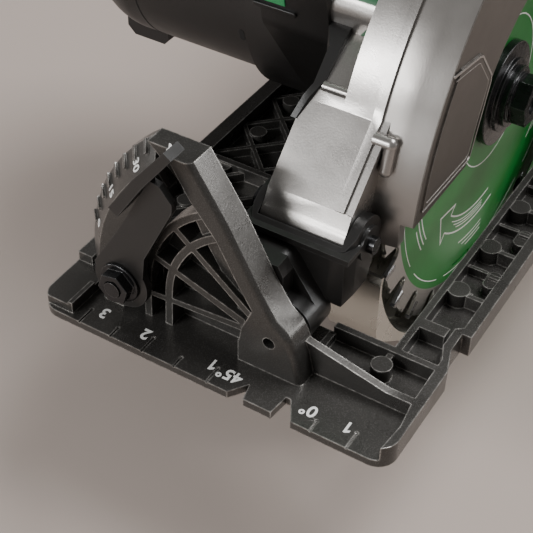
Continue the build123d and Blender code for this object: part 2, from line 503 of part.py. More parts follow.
def saw_blade():
    """Blade plate with one gullet behind each tooth and four expansion slots."""
    plate = disc(0, 0, BLADE_R - 1.2)
    pitch = 360 / TOOTH_COUNT
    gullet = hull(disc(BLADE_R - 7.5, 0, 3.6), disc(BLADE_R + 3, 4.5, 4.0), disc(BLADE_R + 6, -1, 3.0))
    shoulder = poly((BLADE_R - 2.6, 8.0), (BLADE_R + 5, 9.0), (BLADE_R + 5, 20.5), (BLADE_R - 0.9, 20.2))
    for index in range(TOOTH_COUNT):
        plate -= Rot(0, 0, index * pitch) * (gullet + shoulder + tip_face())
    for index in range(4):
        slot = arc_slot(0, 0, 74, 0.5, 0, 12) + poly((73.6, -0.4), (87, -0.4), (87, 0.4), (73.6, 0.4))
        plate -= Rot(0, 0, index * 90 + 5.5) * slot
    plate -= disc(0, 0, 7.94)
    return slab_y(Pos(ARBOR_X, ARBOR_Z) * plate, -BLADE_T / 2, BLADE_T / 2)


def tip_face():
    return poly((BLADE_R - 7.5, -5.0), (BLADE_R, -3.6), (BLADE_R - 0.5, -6.0), (BLADE_R - 7.3, -7.2))


def carbide_tips():
    tips = []
    pitch = 360 / TOOTH_COUNT
    for index in range(TOOTH_COUNT):
        face = Pos(ARBOR_X, ARBOR_Z) * Rot(0, 0, index * pitch) * tip_face()
        tips.append(slab_y(face, -0.9, 0.9))
    return tips


def bearing(x, z, size):
    r_out, r_in, y0, y1 = size
    ring = tube_y(x, z, r_out, r_out - (r_out - r_in) * 0.28, y0, y1)
    ring += tube_y(x, z, r_in + (r_out - r_in) * 0.28, r_in + RUN, y0, y1)
    seal = tube_y(x, z, r_out - 0.5, r_in + 0.6, y0 + 0.6, y1 - 0.6)
    return ring + seal


def make_drive():
    x, z = ARBOR_X, ARBOR_Z
    save("saw_blade", saw_blade())
    save_group("carbide_tips", carbide_tips())
    save("inner_flange", rod_y(x, z, 20.5, -4.4, -0.6) + rod_y(x, z, 13, -6.6, -4.4)
         - rod_y(x, z, 19, -1.2, 0) - rod_y(x, z, 7.94, -10, 0))
    flange = rod_y(x, z, 20.5, 0.6, 3.8) + rod_y(x, z, 14.5, 3.8, 5.4) - rod_y(x, z, 19, 0, 1.2)
    save("outer_flange", flange - rod_y(x, z, 4.0, 0, 10))
    bolt = rod_y(x, z, 4.0, -18, 5.5) + rod_y(x, z, 12.0, 5.4, 7.6) + rod_y(x, z, 10.2, 7.6, 8.6)
    bolt += slab_y(hexagon(x, z, 17, 10), 8.6, 14.6) - rod_y(x, z, 4.6, 12.8, 16)
    save("arbor_bolt", bolt)
    spindle = rod_y(x, z, 7.94, -6.6, 0.4) + rod_y(x, z, 7.5, -31.4, -6.6) + rod_y(x, z, 5.0, -44, -31.4)
    spindle -= rod_y(x, z, 4.0, -18, 1)
    save("spindle", spindle)
    save("drive_gear", slab_y(Pos(x, z) * gear_face(GEAR_TEETH, 7.5, CENTRE_ANGLE), GEAR_Y0, GEAR_Y1))
    save_group("spindle_bearings", [bearing(x, z, OUTER_BEARING), bearing(x, z, INNER_BEARING)])


# ---- motor --------------------------------------------------------------------------------
FLANGE_Y, END_CAP_Y = -82.0, -136.0
STATOR_R, ROTOR_R = 33.0, 17.0
BULGE = ((-78, 98, 14), (-80, 84, 13))    # front swelling of the housing: x, z, radius


def motor_profile(grow=0.0):
    return hull(disc(MOTOR_X, MOTOR_Z, 52 + grow), *[disc(x, z, r + grow) for x, z, r in BULGE])


def motor_housing():
    x, z = MOTOR_X, MOTOR_Z
    body = slab_y(motor_profile(), -60, GEARBOX_Y0) + rod_y(x, z, 51, FLANGE_Y, -60)
    body += rod_y(x, z, MOTOR_R, END_CAP_Y, FLANGE_Y)
    body -= slab_y(motor_profile(-MOTOR_WALL), -57.4, -30)
    body -= rod_y(x, z, 48.2, FLANGE_Y + 2.6, -50) + rod_y(x, z, MOTOR_R - MOTOR_WALL, -200, -60)
    for deg in range(0, 360, 45):
        rib = Pos(*polar(x, z, 39.3, deg)) * Rot(0, 0, deg) * Rectangle(12.2, 3)
        body += slab_y(rib, -106, -58)
    for index in range(7):
        slot = Pos(*polar(x, z, 45, 195 + 11 * index)) * Rot(0, 0, 15 + 11 * index) * Rectangle(16, 2.6)
        body -= slab_y(slot, -132, -112)
    body -= box(-120, -85, -37.3, -33.6, 28.0, 36.0)
    body += nose_lip()
    return body


def motor_end_cap():
    """Domed outer cover of the motor: rest foot below, seat for the rear bearing and vent slots."""
    outer = make_face(Polyline((0, END_CAP_Y), (MOTOR_R, END_CAP_Y), (MOTOR_R, -140))
                      + ThreePointArc((MOTOR_R, -140), (42.6, -157), (30, -166))
                      + Polyline((30, -166), (0, -166), (0, END_CAP_Y)))
    inner = make_face(Polyline((0, -130), (MOTOR_R - 2.6, -130), (MOTOR_R - 2.6, -140))
                      + ThreePointArc((MOTOR_R - 2.6, -140), (40.4, -155.2), (28.5, -163.2))
                      + Polyline((28.5, -163.2), (0, -163.2), (0, -130)))
    foot = slab_x(poly((-138, -46), (-140, -48.4), (-155, -48.4), (-158.5, -45), (-158.5, -36), (-138, -36)), -22, 22)
    dome = revolve(outer, Axis.Y, 360) + foot - revolve(inner, Axis.Y, 360)
    seat = rod_y(0, 0, 14, -164, -143) - rod_y(0, 0, MOTOR_REAR_BEARING[0], -150, -140)
    body = dome + seat
    for deg in range(0, 360, 60):
        web = Pos(*polar(0, 0, 28, deg + 15)) * Rot(0, 0, deg + 15) * Rectangle(30, 2)
        body += slab_y(web, -164, -150) & slab_y(disc(0, 0, 36), -164, -140)
    for ring, count in ((22, 10), (29.5, 14), (37, 18)):
        for index in range(count):
            deg = 360 / count * index
            vent = Pos(*polar(0, 0, ring, deg)) * Rot(0, 0, deg) * Rectangle(4.2, 2.8)
            body -= slab_y(vent, -168, -150.5)
    return Pos(MOTOR_X, 0, MOTOR_Z) * body


def stator():
    slots = disc(0, 0, STATOR_R) - disc(0, 0, ROTOR_R + 0.6)
    for index in range(12):
        window = poly((19.5, -1.2), (28.5, -4.6), (28.5, 4.6), (19.5, 1.2))
        slots -= Rot(0, 0, index * 30) * window
    return slab_y(Pos(MOTOR_X, MOTOR_Z) * slots, -102, -62)


def stator_coils():
    coils = []
    for index in range(12):
        loop = Pos(24, 0) * rounded(Rectangle(8.4, 9.6), 1.5)
        loop = Pos(MOTOR_X, MOTOR_Z) * Rot(0, 0, index * 30 + 15) * loop
        coils.append(slab_y(loop, -108, -102))
    return coils


def cooling_fan():
    x, z = MOTOR_X, MOTOR_Z
    fan = rod_y(x, z, 38, -124, -122) + rod_y(x, z, 11, -132, -122)
    for index in range(13):
        deg = 360 / 13 * index
        blade = Pos(*polar(x, z, 27, deg)) * Rot(0, 0, deg + 22) * Rectangle(19, 1.6)
        fan += slab_y(blade, -132, -123)
    return fan - rod_y(x, z, 4.0, -140, -110)


def make_motor():
    x, z = MOTOR_X, MOTOR_Z
    save("motor_housing", motor_housing())
    save("motor_end_cap", motor_end_cap())
    save("stator_core", stator())
    save_group("stator_coils", stator_coils())
    save("rotor_core", rod_y(x, z, ROTOR_R, -101, -63) - rod_y(x, z, 5.0, -120, -50))
    shaft = rod_y(x, z, 5.0, -110, -31.2) + rod_y(x, z, 4.0, -149.8, -110)
    pinion = Pos(x, z) * gear_face(PINION_TEETH, 0.01, CENTRE_ANGLE + 180 + 180 / PINION_TEETH)
    save("motor_shaft", shaft + slab_y(pinion, -31.3, -23.3) + rod_y(x, z, 4.0, -31.3, -23.3))
    save("cooling_fan", cooling_fan())
    save_group("motor_bearings", [bearing(x, z, MOTOR_FRONT_BEARING), bearing(x, z, MOTOR_REAR_BEARING)])


# ---- handle, switch and battery -----------------------------------------------------------
DOCK_X0, DOCK_X1, DOCK_Y = -300.0, -203.0, -71.0
BATTERY_Z0, BATTERY_Z1 = 33.0, 90.0
HOOK_X = -246.0


def handle_profile():
    outer = poly((-66, 96), (-63, 118), (-70, 146), (-88, 168), (-120, 179), (-160, 177), (-200, 160),
                 (-231, 132), (-242, 108), (-242, 100), (-196, 100), (-150, 100), (-90, 97))
    hole = poly((-113, 119), (-105, 138), (-114, 152), (-132, 157), (-162, 154), (-190, 140),
                (-207, 122), (-200, 117), (-150, 117))
    floor = poly((-204, 116.5), (-109, 116.5), (-108.2, 125), (-204.2, 125))
    return rounded(outer, 5) - (rounded(hole, 5) + floor)


def handle_half(y_middle, y_side):
    """One hollow half of the handle; the motor housing passes under it."""
    profile = handle_profile()
    lo, hi = min(y_middle, y_side), max(y_middle, y_side)
    wall = 2.6 if y_side < y_middle else -2.6
    body = slab_y(profile, lo, hi)
    inner = offset(profile, -2.6)
    body -= slab_y(inner, min(y_middle, y_side + wall), max(y_middle, y_side + wall))
    body -= slab_y(motor_profile(GAP * 0.2), -60.2, -30) + rod_y(MOTOR_X, MOTOR_Z, 51.1, -90, -40)
    body -= box(-157, -123, HANDLE_Y - 7.3, HANDLE_Y + 7.3, 140, 162)
    body -= rod_y(-112, 165, 5.3, -90, -10)
    return body


def handle_grip():
    """Rubber overmould that wraps the top of the grip."""
    band = offset(handle_profile(), 1.6) - offset(handle_profile(), -4)
    band = band & poly((-104, 162), (-104, 190), (-215, 190), (-245, 100), (-215, 118), (-196, 147),
                       (-160, 165), (-120, 168))
    skin = slab_y(band, HANDLE_Y - HANDLE_HALF - 1.6, HANDLE_Y + HANDLE_HALF + 1.6)
    return skin - slab_y(handle_profile(), HANDLE_Y - HANDLE_HALF, HANDLE_Y + HANDLE_HALF)


def battery_dock():
    """Rail plate under the rear of the handle that the battery slides on."""
    y0, y1 = DOCK_Y - 26, DOCK_Y + 26
    body = box(DOCK_X0, DOCK_X1, y0, y1, BATTERY_Z1 + 0.6, 106)
    body = fillet(body.edges().filter_by(Axis.Z), 5)
    body -= box(DOCK_X0 - 1, DOCK_X1 - 4, DOCK_Y - 14, DOCK_Y + 14, BATTERY_Z1, 96)
    body -= box(DOCK_X0 - 1, DOCK_X1 - 4, DOCK_Y - 18, DOCK_Y + 18, 93.4, 97.2)
    body -= box(-246, DOCK_X1 + 1, HANDLE_Y - HANDLE_HALF - 1.9, y1 + 1, 99.8, 110)
    body -= terminal_block()
    return body


def terminal_block():
    return box(DOCK_X1 - 22, DOCK_X1 - 8, DOCK_Y - 12, DOCK_Y + 2, 97.2, 101)


def battery_case():
    shell = box(DOCK_X0 - 2, DOCK_X1 - 2, DOCK_Y - 37, DOCK_Y + 37, BATTERY_Z0, 78)
    shell = fillet(shell.edges().filter_by(Axis.Z), 8)
    return shell - box(DOCK_X0 + 0.6, DOCK_X1 - 4.6, DOCK_Y - 34.4, DOCK_Y + 34.4, BATTERY_Z0 + 2.6, 80)


def battery_lid():
    shell = box(DOCK_X0 - 2, DOCK_X1 - 2, DOCK_Y - 37, DOCK_Y + 37, 78, BATTERY_Z1)
    shell = fillet(shell.edges().filter_by(Axis.Z), 8)
    shell -= box(DOCK_X0 + 0.6, DOCK_X1 - 4.6, DOCK_Y - 34.4, DOCK_Y + 34.4, 77, BATTERY_Z1 - 3)
    rail = box(DOCK_X0 + 2, DOCK_X1 - 6, DOCK_Y - 13.4, DOCK_Y + 13.4, BATTERY_Z1 - 1, 94.2)
    rail += box(DOCK_X0 + 2, DOCK_X1 - 6, DOCK_Y - 17.4, DOCK_Y + 17.4, 94.0, 96.6)
    shell += rail
    for side in (-1, 1):
        shell -= box(-284, -262, DOCK_Y + side * 35.2 - 2.2, DOCK_Y + side * 35.2 + 2.2, 81, 89)
    return shell


def make_handle():
    save("handle_left", handle_half(HANDLE_Y, HANDLE_Y + HANDLE_HALF))
    save("handle_right", handle_half(HANDLE_Y, HANDLE_Y - HANDLE_HALF))
    save("handle_grip", handle_grip())
    arm = slab_y(rounded(Pos(-80, 122) * Rectangle(22, 24), 7), -128, HANDLE_Y - HANDLE_HALF)
    save("front_grip_core", arm)
    sleeve = slab_y(rounded(Pos(-80, 122) * Rectangle(29, 31), 10), -134, -72)
    save("front_grip", sleeve - slab_y(rounded(Pos(-80, 122) * Rectangle(22, 24), 7), -128, -60))
    trigger = rounded(poly((-125, 166), (-125, 147), (-131, 141.5), (-149, 146), (-155, 153), (-155, 166)), 1.8)
    save("trigger", slab_y(trigger, HANDLE_Y - 7, HANDLE_Y + 7))
    rings = [Pos(-140, HANDLE_Y, 166.5 + 1.5 * i) * Torus(3.2, 0.5) for i in range(5)]
    save_group("trigger_spring", rings)
    save("trigger_switch", box(-178, -158, HANDLE_Y - 8, HANDLE_Y + 8, 157.5, 166.5))
    button = rod_y(-112, 165, 5.0, HANDLE_Y - HANDLE_HALF - 3, HANDLE_Y + HANDLE_HALF + 3)
    save("lock_button", button)
    board = box(-236, -206, HANDLE_Y - 13, HANDLE_Y + 13, 103.0, 104.6)
    for index in range(3):
        board += box(-232 + 9 * index, -226 + 9 * index, HANDLE_Y - 9, HANDLE_Y + 9, 104.6, 107.2)
    save("controller_board", board)
    save("battery_dock", battery_dock())
    save("battery_case", battery_case())
    save("battery_lid", battery_lid())
    cells = []
    for row in range(2):
        for column in range(5):
            cells.append(rod_y(-290.0 + 18.3 * column, 45.9 + 18.3 * row, 9.1, DOCK_Y - 32.5, DOCK_Y + 32.5))
    save_group("battery_cells", cells)
    for side, name in ((-1, "battery_latch_right"), (1, "battery_latch_left")):
        y = DOCK_Y + side * 35.6
        latch = box(-283.6, -262.4, y - 1.4, y + 2.6, 81.4, 88.6) if side > 0 \
            else box(-283.6, -262.4, y - 2.6, y + 1.4, 81.4, 88.6)
        save(name, latch)
    save("terminal_block", terminal_block())
    screws = []
    for x, z in ((-84, 150), (-150, 161), (-206, 139), (-226, 114), (-99, 112)):
        head = rod_y(x, z, 3.6, HANDLE_Y - HANDLE_HALF - 1.0, HANDLE_Y - HANDLE_HALF)
        screws.append(head)
    save_group("handle_screws", screws)
    y = HANDLE_Y - HANDLE_HALF - 6.2
    plate = rounded(poly((-250, 118), (-250, 132), (-158, 132), (-158, 152), (-150, 152), (-150, 118)), 2)
    hook = slab_y(plate, y - 1.5, y + 1.5) + rod_z(HOOK_X, y, 4.0, 118, 132)
    save("rafter_hook", hook - rod_z(HOOK_X, y, 2.0 + RUN, 100, 140))
    save("hook_pin", rod_z(HOOK_X, y, 2.0, 106, 134) + rod_z(HOOK_X, y, 3.6, 106, 117.7))


# ---- controls and small parts on the saw body ---------------------------------------------
def make_controls():
    arm = hull(disc(CLAMP_X, CLAMP_Z, 10), disc(-262, 74, 6)) - disc(CLAMP_X, CLAMP_Z, 4.0 + RUN)
    lever = slab_y(arm, -31.5, -27.5)
    lever += slab_y(hull(disc(-262, 74, 6), disc(-272, 77, 5)), -32.0, -24.5)
    save("depth_lever", lever)
    save("depth_clamp_bolt", rod_y(CLAMP_X, CLAMP_Z, 3.0, -32, -15) + rod_y(CLAMP_X, CLAMP_Z, 4.0, -33, -22.5)
         + rod_y(CLAMP_X, CLAMP_Z, 9.0, -24.5, -22.0))
    duct = rod_x(DUST_Y, DUST_Z, DUST_R, -252, -205) + rod_x(DUST_Y, DUST_Z, DUST_R + 2.0, -252, -248)
    duct -= dust_bore()
    save("dust_port", duct - rod_y(ARBOR_X, ARBOR_Z, GUARD_R + 1.1, -30, 30))
    lock = box(-129.4, -94, -36.7, -34.3, 28.6, 35.4) + box(-94.4, -88, -41, -34.3, 27.0, 37.0)
    save("spindle_lock", lock)
    spring = [Pos(ARBOR_X, y, ARBOR_Z) * Rot(90, 0, 0) * Torus(24.4, 0.6) for y in (-14.2, -12.9)]
    save_group("guard_spring", spring)
    x, z = polar(ARBOR_X, ARBOR_Z, 86, -12)
    knob = rod_y(x, z, 4.0, LOWER_Y0 - 15, LOWER_Y0) + rod_y(x, z, 6.5, LOWER_Y0 - 15, LOWER_Y0 - 7)
    save("guard_lever", knob)


make_base()
make_frame()
make_case()
make_drive()
make_motor()
make_handle()
make_controls()
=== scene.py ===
"""Looks of a cordless circular saw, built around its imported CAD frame. Sizes are in metres."""
import json
import math

import bmesh
import bpy
from mathutils import Matrix, Vector

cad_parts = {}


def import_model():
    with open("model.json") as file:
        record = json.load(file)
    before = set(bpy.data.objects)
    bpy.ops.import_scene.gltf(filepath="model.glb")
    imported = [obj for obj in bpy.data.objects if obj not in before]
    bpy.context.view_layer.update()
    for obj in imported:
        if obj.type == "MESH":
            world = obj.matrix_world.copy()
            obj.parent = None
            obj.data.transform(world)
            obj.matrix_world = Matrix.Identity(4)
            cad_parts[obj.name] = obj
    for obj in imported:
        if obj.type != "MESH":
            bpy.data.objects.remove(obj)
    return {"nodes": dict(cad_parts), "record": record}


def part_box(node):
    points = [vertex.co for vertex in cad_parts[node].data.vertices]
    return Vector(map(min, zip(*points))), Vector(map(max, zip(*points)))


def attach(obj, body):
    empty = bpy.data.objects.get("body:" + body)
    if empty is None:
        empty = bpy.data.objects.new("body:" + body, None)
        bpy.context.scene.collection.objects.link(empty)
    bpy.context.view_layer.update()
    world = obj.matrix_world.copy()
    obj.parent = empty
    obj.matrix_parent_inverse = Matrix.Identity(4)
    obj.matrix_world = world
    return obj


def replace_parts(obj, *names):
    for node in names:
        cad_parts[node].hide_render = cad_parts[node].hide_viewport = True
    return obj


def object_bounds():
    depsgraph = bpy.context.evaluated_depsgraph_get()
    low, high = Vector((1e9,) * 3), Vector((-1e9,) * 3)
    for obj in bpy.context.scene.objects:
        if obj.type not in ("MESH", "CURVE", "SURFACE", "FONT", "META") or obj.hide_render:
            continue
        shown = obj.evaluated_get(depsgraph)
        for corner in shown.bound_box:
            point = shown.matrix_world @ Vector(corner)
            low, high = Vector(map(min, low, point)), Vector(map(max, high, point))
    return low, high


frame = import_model()
cad_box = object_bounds()
MM = 0.001
NODES = frame["nodes"]
JOINTS = {joint["name"]: joint for joint in frame["record"]["behaviour"]["joints"]}
ARBOR = Vector(JOINTS["blade_spin"]["pos_m"])
MOTOR = Vector(JOINTS["rotor_spin"]["pos_m"])
BEVEL = Vector(JOINTS["bevel_tilt"]["pos_m"])
FLOOR_Z = cad_box[0].z


# ---- materials ----------------------------------------------------------------------------
class Surface:
    """A node material whose colour, gloss and relief vary at the scales of the real finish."""

    def __init__(self, name, colour, rough, metallic=0.0, coat=0.0):
        self.material = bpy.data.materials.new(name)
        self.material.use_nodes = True
        self.tree = self.material.node_tree
        self.shader = self.tree.nodes["Principled BSDF"]
        self.shader.inputs["Metallic"].default_value = metallic
        self.shader.inputs["Coat Weight"].default_value = coat
        self.shader.inputs["Coat Roughness"].default_value = 0.12
        self.place = self.tree.nodes.new("ShaderNodeTexCoord").outputs["Object"]
        self.colour = self.rgb(colour)
        self.rough = self.value(rough)
        self.height = None

    def rgb(self, colour):
        node = self.tree.nodes.new("ShaderNodeRGB")
        node.outputs[0].default_value = (*colour, 1)
        return node.outputs[0]

    def value(self, number):
        node = self.tree.nodes.new("ShaderNodeValue")
        node.outputs[0].default_value = number
        return node.outputs[0]

    def math(self, operation, a, b=None, c=None):
        node = self.tree.nodes.new("ShaderNodeMath")
        node.operation = operation
        for socket, item in zip(node.inputs, (a, b, c)):
            if isinstance(item, (int, float)):
                socket.default_value = item
            elif item is not None:
                self.tree.links.new(item, socket)
        return node.outputs[0]

    def ramp(self, value, low, high, to_low=0.0, to_high=1.0):
        node = self.tree.nodes.new("ShaderNodeMapRange")
        for socket, item in zip(node.inputs, (value, low, high, to_low, to_high)):
            if isinstance(item, (int, float)):
                socket.default_value = item
            else:
                self.tree.links.new(item, socket)
        return node.outputs[0]

    def noise(self, size, detail=2.0, stretch=(1, 1, 1), place=None):
        mapping = self.tree.nodes.new("ShaderNodeMapping")
        mapping.inputs["Scale"].default_value = stretch
        self.tree.links.new(place or self.place, mapping.inputs["Vector"])
        node = self.tree.nodes.new("ShaderNodeTexNoise")
        node.inputs["Scale"].default_value = 1 / size
        node.inputs["Detail"].default_value = detail
        self.tree.links.new(mapping.outputs[0], node.inputs["Vector"])
        return node.outputs["Fac"]

    def axis(self, name):
        node = self.tree.nodes.new("ShaderNodeSeparateXYZ")
        self.tree.links.new(self.place, node.inputs[0])
        return node.outputs[name]

    def tint(self, mask, colour):
        """Mixes another colour in where the mask is 1."""
        node = self.tree.nodes.new("ShaderNodeMix")
        node.data_type = "RGBA"
        self.tree.links.new(mask, node.inputs["Factor"])
        self.tree.links.new(self.colour, node.inputs["A"])
        if isinstance(colour, tuple):
            node.inputs["B"].default_value = (*colour, 1)
        else:
            self.tree.links.new(colour, node.inputs["B"])
        self.colour = node.outputs["Result"]
        return self

    def gloss(self, mask, rough):
        """Moves the roughness to another value where the mask is 1."""
        self.rough = self.math("ADD", self.rough, self.math("MULTIPLY", mask,
                                                            self.math("SUBTRACT", rough, self.rough)))
        return self

    def mottle(self, size, amount, dark=0.75):
        """Uneven tone, as in paint and cast metal."""
        node = self.tree.nodes.new("ShaderNodeMix")
        node.data_type = "RGBA"
        node.blend_type = "MULTIPLY"
        node.inputs["B"].default_value = (dark, dark, dark, 1)
        self.tree.links.new(self.colour, node.inputs["A"])
        mask = self.ramp(self.noise(size, 4.0), 0.35, 0.7, 0.0, amount)
        self.tree.links.new(mask, node.inputs["Factor"])
        self.colour = node.outputs["Result"]
        return self

    def smudge(self, size, amount):
        """Uneven gloss, as from handling."""
        change = self.ramp(self.noise(size, 5.0), 0.3, 0.7, -amount, amount)
        self.rough = self.math("ADD", self.rough, change)
        return self

    def relief(self, height, strength=1.0):
        """Adds a height, in metres, to the surface's bump."""
        height = self.math("MULTIPLY", height, strength)
        self.height = height if self.height is None else self.math("ADD", self.height, height)
        return self

    def grain(self, size, depth, detail=2.0):
        return self.relief(self.noise(size, detail), depth)

    def rubbed_and_highlit_edges(self, colour, amount=0.8, radius=0.7 * MM):
        """Brighter edges: partly rubbed wear, partly painted highlight where the edges catch the light."""
        bevel = self.tree.nodes.new("ShaderNodeBevel")
        bevel.samples = 4
        bevel.inputs["Radius"].default_value = radius
        plain = self.tree.nodes.new("ShaderNodeNewGeometry")
        dot = self.tree.nodes.new("ShaderNodeVectorMath")
        dot.operation = "DOT_PRODUCT"
        self.tree.links.new(bevel.outputs[0], dot.inputs[0])
        self.tree.links.new(plain.outputs["Normal"], dot.inputs[1])
        edge = self.ramp(dot.outputs["Value"], 0.99, 0.86, 0.0, amount)
        patchy = self.ramp(self.noise(2.5 * MM, 6.0), 0.35, 0.65, 0.25, 1.0)
        return self.tint(self.math("MULTIPLY", edge, patchy), colour)

    def done(self):
        self.tree.links.new(self.colour, self.shader.inputs["Base Color"])
        clamped = self.ramp(self.rough, 0.0, 1.0, 0.03, 1.0)
        self.tree.links.new(clamped, self.shader.inputs["Roughness"])
        if self.height is not None:
            bump = self.tree.nodes.new("ShaderNodeBump")
            bump.inputs["Distance"].default_value = 1.0
            self.tree.links.new(self.height, bump.inputs["Height"])
            self.tree.links.new(bump.outputs[0], self.shader.inputs["Normal"])
        return self.material


def base_paint():
    paint = Surface("base_paint", (0.062, 0.059, 0.055), 0.27, metallic=0.65)
    paint.mottle(9 * MM, 0.4).smudge(14 * MM, 0.05)
    paint.tint(paint.ramp(paint.noise(0.35 * MM, 1.0), 0.5, 0.72, 0.0, 0.4), (0.17, 0.165, 0.16))
    paint.grain(0.7 * MM, 0.03 * MM).grain(5 * MM, 0.05 * MM)
    # The pale edge tint is partly rubbed wear, partly painted highlight on the glossy edges.
    return paint.rubbed_and_highlit_edges((0.62, 0.6, 0.57), 0.85, 0.8 * MM).done()


def satin_black():
    coat = Surface("satin_black", (0.010, 0.0095, 0.009), 0.32, metallic=0.0)
    coat.mottle(7 * MM, 0.4).smudge(9 * MM, 0.05)
    return coat.grain(0.6 * MM, 0.02 * MM).rubbed_and_highlit_edges((0.06, 0.06, 0.06), 0.6).done()


def black_oxide():
    steel = Surface("black_oxide", (0.045, 0.045, 0.047), 0.24, metallic=0.9)
    steel.mottle(4 * MM, 0.5).smudge(5 * MM, 0.07)
    return steel.grain(0.5 * MM, 0.01 * MM).rubbed_and_highlit_edges((0.3, 0.3, 0.3), 0.7, 0.5 * MM).done()


def zinc():
    steel = Surface("zinc", (0.60, 0.60, 0.58), 0.30, metallic=1.0)
    steel.mottle(3 * MM, 0.3).smudge(4 * MM, 0.08)
    return steel.grain(0.4 * MM, 0.008 * MM).done()


def guard_silver(name="guard_silver", shell=False):
    """Silver paint on cast alloy; with shell, green plastic shows above and below the bare band, in a green
    darker than the other green plastic: painted shade.
    """
    alloy = Surface(name, (0.36, 0.345, 0.33), 0.27, metallic=0.9)
    alloy.mottle(12 * MM, 0.25, 0.85).smudge(15 * MM, 0.04)
    alloy.tint(alloy.ramp(alloy.noise(0.3 * MM, 1.0), 0.5, 0.75, 0.0, 0.3), (0.66, 0.64, 0.62))
    if shell:
        z = alloy.axis("Z")
        slant = alloy.math("SUBTRACT", z, alloy.math("MULTIPLY", alloy.axis("Y"), 1.3))
        low = alloy.ramp(slant, 116.3 * MM, 115.7 * MM)
        high = alloy.ramp(z, 97.0 * MM, 97.3 * MM)
        front = alloy.ramp(alloy.axis("X"), -98.4 * MM, -98.0 * MM)
        green = alloy.math("MULTIPLY", alloy.math("MAXIMUM", low, high), front)
        # Dark green: green plastic with painted shade, darker than the green plastic elsewhere.
        alloy.tint(green, (0.02, 0.11, 0.045))
        alloy.gloss(green, 0.45)
        alloy.tree.links.new(alloy.ramp(green, 0.0, 1.0, 0.85, 0.0), alloy.shader.inputs["Metallic"])
    return alloy.grain(0.6 * MM, 0.02 * MM).grain(7 * MM, 0.03 * MM).done()


def guard_cover_paint():
    """Silver rim, dark side face, split where the side face begins."""
    alloy = Surface("guard_cover_paint", (0.32, 0.305, 0.29), 0.29, metallic=0.9)
    face_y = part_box("guard_cover")[1].y
    side = alloy.ramp(alloy.axis("Y"), face_y - 1.1 * MM, face_y - 0.9 * MM)
    alloy.tint(side, (0.115, 0.105, 0.095))
    alloy.gloss(side, 0.42)
    alloy.mottle(12 * MM, 0.25, 0.85).smudge(15 * MM, 0.04)
    return alloy.grain(0.6 * MM, 0.015 * MM).rubbed_and_highlit_edges((0.5, 0.48, 0.46), 0.4).done()


def guard_sheet():
    steel = Surface("guard_sheet", (0.66, 0.64, 0.58), 0.27, metallic=1.0)
    steel.mottle(16 * MM, 0.2, 0.85).smudge(12 * MM, 0.06)
    return steel.grain(0.5 * MM, 0.008 * MM).grain(9 * MM, 0.03 * MM).done()


def blade_finish():
    """Ground steel with a printed green disc."""
    steel = Surface("blade_finish", (0.50, 0.50, 0.49), 0.30, metallic=1.0)
    x = steel.math("SUBTRACT", steel.axis("X"), ARBOR.x)
    z = steel.math("SUBTRACT", steel.axis("Z"), ARBOR.z)
    radius = steel.math("SQRT", steel.math("ADD", steel.math("MULTIPLY", x, x), steel.math("MULTIPLY", z, z)))
    rings = steel.tree.nodes.new("ShaderNodeCombineXYZ")
    steel.tree.links.new(steel.math("MULTIPLY", radius, 14.0), rings.inputs["X"])
    steel.tree.links.new(steel.math("MULTIPLY", steel.math("ARCTAN2", z, x), 0.006), rings.inputs["Y"])
    brushed = steel.noise(2.2 * MM, 4.0, place=rings.outputs[0])
    steel.tint(steel.ramp(brushed, 0.3, 0.7, 0.0, 0.5), (0.25, 0.25, 0.25))
    green = steel.ramp(radius, 79.9 * MM, 79.6 * MM)
    face = steel.ramp(steel.axis("Y"), 0.0, 0.2 * MM)
    printed = steel.math("MULTIPLY", green, face)
    steel.tint(printed, (0.004, 0.17, 0.022))
    steel.tint(steel.math("MULTIPLY", printed, steel.ramp(steel.noise(6 * MM, 3.0), 0.4, 0.7, 0, 0.3)),
               (0.008, 0.23, 0.035))
    steel.gloss(printed, 0.36)
    steel.tree.links.new(steel.math("SUBTRACT", 1.0, steel.math("MULTIPLY", printed, 0.85)),
                         steel.shader.inputs["Metallic"])
    steel.relief(brushed, 0.006 * MM)
    return steel.done()


def carbide():
    tip = Surface("carbide", (0.32, 0.32, 0.33), 0.25, metallic=1.0)
    return tip.mottle(1.5 * MM, 0.4).smudge(2 * MM, 0.06).grain(0.3 * MM, 0.006 * MM).done()


def moulded(name, colour, rough=0.45, grain_depth=0.05 * MM):
    """Moulded plastic with a fine spark-eroded texture."""
    plastic = Surface(name, colour, rough)
    plastic.mottle(18 * MM, 0.25, 0.8).smudge(16 * MM, 0.05)
    lighter = tuple(min(1.0, channel * 1.6 + 0.01) for channel in colour)
    return plastic.grain(0.55 * MM, grain_depth, 3.0).rubbed_and_highlit_edges(lighter, 0.35, 0.5 * MM).done()


def soft_rubber():
    rubber = Surface("soft_rubber", (0.012, 0.012, 0.012), 0.62)
    rubber.mottle(10 * MM, 0.4).smudge(9 * MM, 0.08)
    return rubber.grain(0.4 * MM, 0.05 * MM, 4.0).done()


def core_steel():
    steel = Surface("core_steel", (0.28, 0.28, 0.30), 0.42, metallic=0.9)
    sheets = steel.noise(1.0 * MM, 1.0, stretch=(0.02, 1.0, 0.02))
    return steel.relief(sheets, 0.05 * MM).mottle(4 * MM, 0.4).done()


def copper():
    wire = Surface("copper_wire", (0.62, 0.22, 0.07), 0.28, metallic=0.9)
    return wire.mottle(2 * MM, 0.4).relief(wire.noise(0.8 * MM, 1.0, stretch=(1, 1, 4)), 0.08 * MM).done()


def cell_wrap():
    wrap = Surface("cell_wrap", (0.03, 0.12, 0.32), 0.3)
    return wrap.mottle(5 * MM, 0.4).smudge(8 * MM, 0.06).grain(0.5 * MM, 0.01 * MM).done()


def white_print():
    ink = Surface("white_print", (0.78, 0.78, 0.76), 0.5)
    return ink.mottle(1.2 * MM, 0.5, 0.8).smudge(3 * MM, 0.05).grain(0.3 * MM, 0.01 * MM).done()


